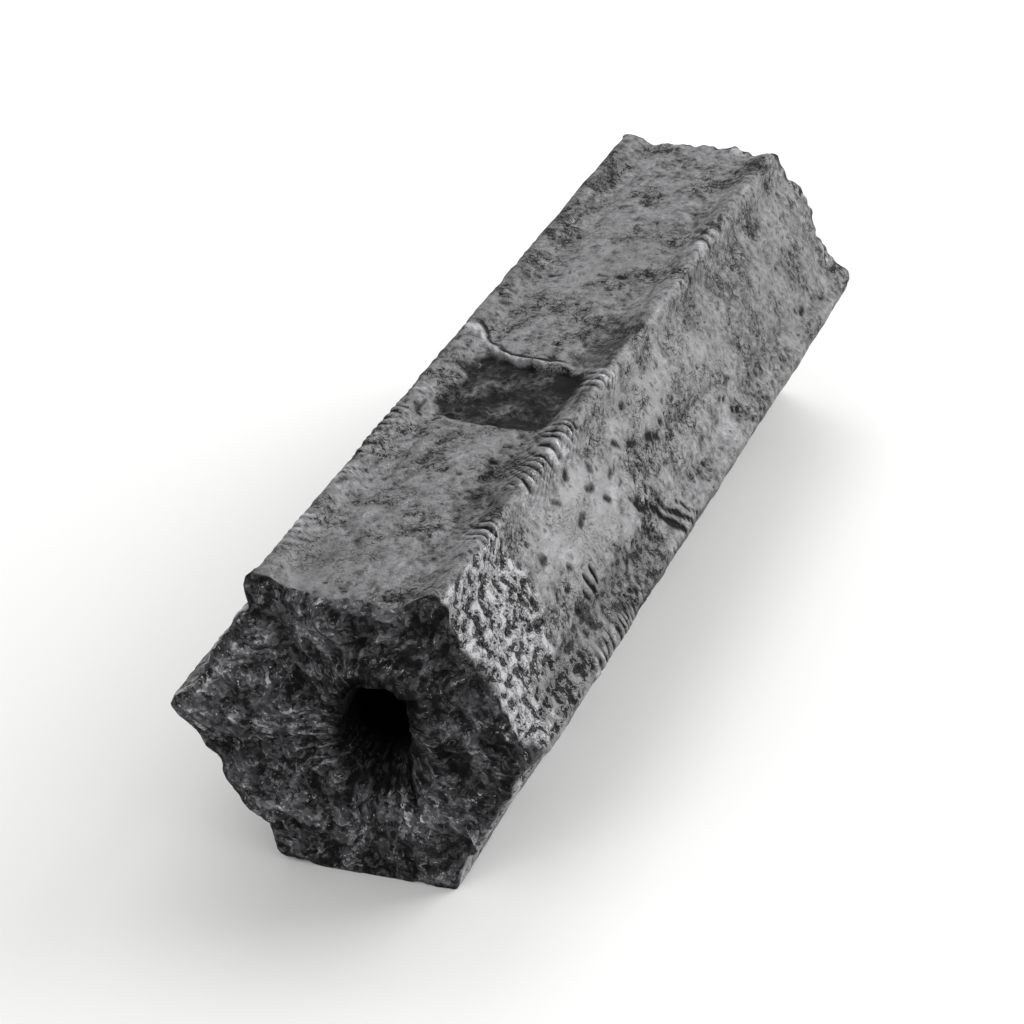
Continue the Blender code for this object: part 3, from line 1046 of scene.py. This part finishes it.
# The bands darken the tone; beside the top face's right-hand ridge they are painted shade in its trough.
band_darkened = add(MATH, {0: band_here, 1: BAND_AND_TROUGH_SHADE_SHIFT, 2: plated}, operation="MULTIPLY_ADD")
torn_tone = add(MATH, {0: plate_final, 1: 0.46, 2: 0.07}, operation="MULTIPLY_ADD")
torn_share = add(RANGE, {"Value": band_here, "From Min": 0.35, "From Max": 0.85, "To Max": 0.8})
banded = add(MIX, {"Factor": torn_share, "A": band_darkened, "B": torn_tone}, data_type="FLOAT")
tone = banded.outputs["Result"]
# Scar floor darker; crests, lip and knob paler as painted highlight; ripple hollows painted shade.
for name, shift in (("scar", SCAR_SHIFT), ("crest_highlight", CREST_HIGHLIGHT_SHIFT), ("ripple_hollow_shade", RIPPLE_HOLLOW_SHADE_SHIFT)):
    tone = add(MATH, {0: mask[name], 1: shift, 2: tone}, operation="MULTIPLY_ADD")
# Painted shade: cracks, pits and the line beyond the lip darken the tone, with real dark streaks too.
recess_shade_edge = add(MATH, {0: fine_grain, 1: 0.6, 2: mask["depth"]}, operation="MULTIPLY_ADD")
recess_shade_cut = add(
    RANGE,
    {"Value": recess_shade_edge, "From Min": 0.45, "From Max": 0.95, "To Min": 0, "To Max": RECESS_SHADE_DARKENS},
)
tone = add(MATH, {0: tone, 1: recess_shade_cut}, operation="SUBTRACT", use_clamp=True)
skin_ramp = add(RAMP, {"Fac": tone}, SKIN_GREYS)
print("the skin's greys go from", SKIN_GREYS[0][1], "to", SKIN_GREYS[-1][1])

# %% [markdown]
# The broken ends. The sawdust breaks into small flakes, and each flake catches the light in its own
# way. Voronoi cells with a random grey each give that. One layer of cells is read in the swirl's own
# coordinates, which the mesh keeps as an attribute, so its flakes are long fibres that bend with the
# relief. The other is read in millimetres and gives crumbs. A noise shakes both, so that no cell has
# straight sides. Most of it is nearly black, and few flakes are pale. The short glints of single
# fibres are the peaks of a fine noise, which is read in the shaken swirl too.

# %% Carbonised sawdust: the broken ends
SHAKE_SIZE = 1.2
SHAKE_SWIRL = (1.2, 1.2, 1.2)
SHAKE_MM = (1.6, 1.6, 1.6)
CRUMB_SIZE = 0.55
CLOUD_SIZE = 2.6
FLAKES_WEIGHT = 0.42
CRUMBS_WEIGHT = 0.36
CLOUDS_WEIGHT = 0.52
RELIEF_SHADE_WEIGHT = 0.40
END_DARKENING_SHIFT = -0.14
END_BASE = -0.28
GLINT = 0.45
END_GREYS = (
    (0.25, "#070707"),
    (0.38, "#181819"),
    (0.52, "#363638"),
    (0.66, "#505052"),
    (0.80, "#78787a"),
    (0.90, "#aaaaac"),
)

swirl = add("ShaderNodeAttribute", attribute_name="fibre_place").outputs["Vector"]
shake = add(NOISE, {"Vector": in_mm, "Scale": 1 / SHAKE_SIZE, "Detail": 2}).outputs["Color"]
shaken_swirl = add(VECTOR, {0: shake, 1: SHAKE_SWIRL, 2: swirl}, operation="MULTIPLY_ADD")
shaken_mm = add(VECTOR, {0: shake, 1: SHAKE_MM, 2: in_mm}, operation="MULTIPLY_ADD")
fibre_flakes = add(FLAKES, {"Vector": shaken_swirl, "Scale": 1.6}).outputs["Color"]
crumb_flakes = add(FLAKES, {"Vector": shaken_mm, "Scale": 1 / CRUMB_SIZE}).outputs["Color"]
end_clouds = add(NOISE, {"Vector": in_mm, "Scale": 1 / CLOUD_SIZE, "Detail": 4, "Roughness": 0.6})
# Painted light and shade: the relief's hills make the tone paler and its hollows and gaps darker.
end_layers = (
    (fibre_flakes, FLAKES_WEIGHT),
    (crumb_flakes, CRUMBS_WEIGHT),
    (end_clouds, CLOUDS_WEIGHT),
    (mask["end_height"], RELIEF_SHADE_WEIGHT),
)
end_tone = END_BASE
for layer, weight in end_layers:
    end_tone = add(MATH, {0: layer, 1: weight, 2: end_tone}, operation="MULTIPLY_ADD")
glint_noise = add(NOISE, {"Vector": shaken_swirl, "Scale": 3.0, "Detail": 2, "Roughness": 0.7})
glints = add(
    RANGE,
    {"Value": glint_noise, "From Min": 0.60, "From Max": 0.72, "To Min": 0, "To Max": GLINT},
)
end_tone = add(MATH, {0: end_tone, 1: glints}, operation="ADD")
end_darkened = {0: mask["end_darkening"], 1: END_DARKENING_SHIFT, 2: end_tone}
end_tone = add(MATH, end_darkened, operation="MULTIPLY_ADD", use_clamp=True)
end_ramp = add(RAMP, {"Fac": end_tone}, END_GREYS)
print("the ends' greys go from", END_GREYS[0][1], "to", END_GREYS[-1][1])

# %% [markdown]
# The three states meet here: skin, then broken inside, then soot over both, which also carries the
# painted shade of the bore and the mouths. Where the skin is dense it is smoother and shines, and
# gaps, breaks and the scar's floor are duller. Hard-pressed char is close to glassy carbon, so its IOR
# is 1.9, more than plain wood or plastic has. The fine relief that is under the mesh's half
# millimetre is a bump of the same tones: what is pale stands up and what is dark lies low.

# %% Carbonised sawdust: sheen and fine relief
SOOT_AND_SHADE_BLACK = "#060606"
GAP_SHINE = "#303030"
SCAR_SHINE = "#404040"
OPEN_SHINE = "#505050"
NO_SHINE = "#000000"
FULL_SHINE = "#ffffff"
OPEN_ROUGHNESS = 0.75
BUMP_HEIGHT = 0.5 * MM
GLASSY_CARBON_IOR = 1.9

open_wood = mask["fracture"]


def by_state(skin, inside, soot_and_shade_value, data_type):
    """Mixes the values of the skin, the broken inside and the soot with its painted shade, by where each
    shows.
    """
    opened = add(MIX, {"Factor": open_wood, "A": skin, "B": inside}, data_type=data_type)
    opened = opened.outputs["Result"]
    sooty = add(MIX, {"Factor": mask["soot_and_shade"], "A": opened, "B": soot_and_shade_value}, data_type=data_type)
    return sooty.outputs["Result"]


skin_rough = add(RANGE, {"Value": tone, "From Min": 0.15, "From Max": 0.75, "To Min": 0.85, "To Max": 0.42})
height = add(MIX, {"Factor": open_wood, "A": tone, "B": end_tone}, data_type="FLOAT")
relief = add("ShaderNodeBump", {"Height": height.outputs["Result"], "Distance": BUMP_HEIGHT})
shine = add(RAMP, {"Fac": tone}, ((0.10, GAP_SHINE), (0.50, FULL_SHINE)))
scar_dull = add(MATH, {0: mask["scar"], 1: 0.75}, operation="MULTIPLY")
skin_shine = add(MIX, {"Factor": scar_dull, "A": shine, "B": linear(SCAR_SHINE)}, data_type="RGBA")
skin_shine = skin_shine.outputs["Result"]
shader = add(
    "ShaderNodeBsdfPrincipled",
    {
        "Base Color": by_state(skin_ramp, end_ramp, linear(SOOT_AND_SHADE_BLACK), "RGBA"),
        "Roughness": by_state(skin_rough, OPEN_ROUGHNESS, 1.0, "FLOAT"),
        "Normal": relief,
        "Specular Tint": by_state(skin_shine, linear(OPEN_SHINE), linear(NO_SHINE), "RGBA"),
        "IOR": GLASSY_CARBON_IOR,
        "Specular IOR Level": 0.5,
        "Metallic": 0,
    },
)
add("ShaderNodeOutputMaterial", {"Surface": shader})
stick.data.materials.append(charcoal)
print("the whole material has", len(tree.nodes), "nodes")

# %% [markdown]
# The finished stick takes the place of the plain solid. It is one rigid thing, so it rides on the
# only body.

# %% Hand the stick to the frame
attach(stick, "root")
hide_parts("briquette")
print(stick.name, "rides on the body root and stands for the solid briquette")

# %% [markdown]
# The stick lies on a plain pale floor. Charcoal is dark, and its faces only look grey where they
# send a bright window back to the eye. So one large soft lamp stands behind the stick and to the
# right, for the right face, and a weaker one stands high behind it, for the top. The near end gets
# only what the floor, the room and a weak front lamp give.

# %% Floor, lamps and room
FLOOR_SIZE = 6.0
PAPER_WHITE = "#efefee"
ROOM_LIGHT = 0.68

bpy.ops.object.select_all(action="DESELECT")
bpy.ops.mesh.primitive_plane_add(size=FLOOR_SIZE, location=(0, 0, 0))
floor = bpy.context.object
floor.name = "studio_floor"
paper = bpy.data.materials.new("matt_paper")
paper.use_nodes = True
paper_inputs = paper.node_tree.nodes["Principled BSDF"].inputs
paper_inputs["Base Color"].default_value = linear(PAPER_WHITE)
paper_inputs["Roughness"].default_value = 0.9
floor.data.materials.append(paper)


def add_lamp(name, stand, aim, size, power):
    """A square soft lamp that looks at a place and isn't seen itself."""
    light = bpy.data.lights.new(name, "AREA")
    light.size = size
    light.energy = power
    lamp = bpy.data.objects.new(name, light)
    bpy.context.scene.collection.objects.link(lamp)
    lamp.location = stand
    lamp.rotation_euler = (Vector(aim) - Vector(stand)).to_track_quat("-Z", "Y").to_euler()
    lamp.visible_camera = False
    return lamp


CENTRE = (0, 0, AXIS.z)
lamps = (
    add_lamp("window_lamp", (0.62, 0.62, 0.42), CENTRE, 0.8, 9.0),
    add_lamp("back_lamp", (-0.25, 0.75, 0.85), CENTRE, 0.8, 3.9),
    add_lamp("front_lamp", (-0.25, -0.8, 0.45), CENTRE, 0.5, 1.9),
)
world = bpy.data.worlds.new("studio_room")
world.use_nodes = True
room = world.node_tree.nodes["Background"].inputs
room["Color"].default_value = linear("#ffffff")
room["Strength"].default_value = ROOM_LIGHT
bpy.context.scene.world = world
bpy.context.scene.view_settings.view_transform = "Standard"
print("the lamps give", [round(lamp.data.energy, 1) for lamp in lamps], "watts")

# %% [markdown]
# The camera stands where the photograph was taken from. That place was found by fitting the six
# corners of the near end and the far ends of the ridges. It turns to look at the stick's middle and
# its lens is longer, so the stick fills the picture from the same viewpoint.

# %% Camera
CAMERA_PLACE = Vector((152.0, -409.8, 250.4)) * MM
CAMERA_AIM = Vector((-0.3, -13.8, 21.4)) * MM
CAMERA_ROLL = -2.4
LENS = 120
SENSOR = 36
CLIP_START = 0.01

eye = bpy.data.cameras.new("photo_view")
eye.lens = LENS
eye.sensor_width = SENSOR
eye.clip_start = CLIP_START
camera = bpy.data.objects.new("photo_view", eye)
bpy.context.scene.collection.objects.link(camera)
camera.location = CAMERA_PLACE
look = (CAMERA_AIM - CAMERA_PLACE).to_track_quat("-Z", "Y")
camera.rotation_euler = (look @ Quaternion((0, 0, 1), math.radians(CAMERA_ROLL))).to_euler()
bpy.context.scene.camera = camera
print("the camera is", round((CAMERA_AIM - CAMERA_PLACE).length / MM), "mm from what it looks at")
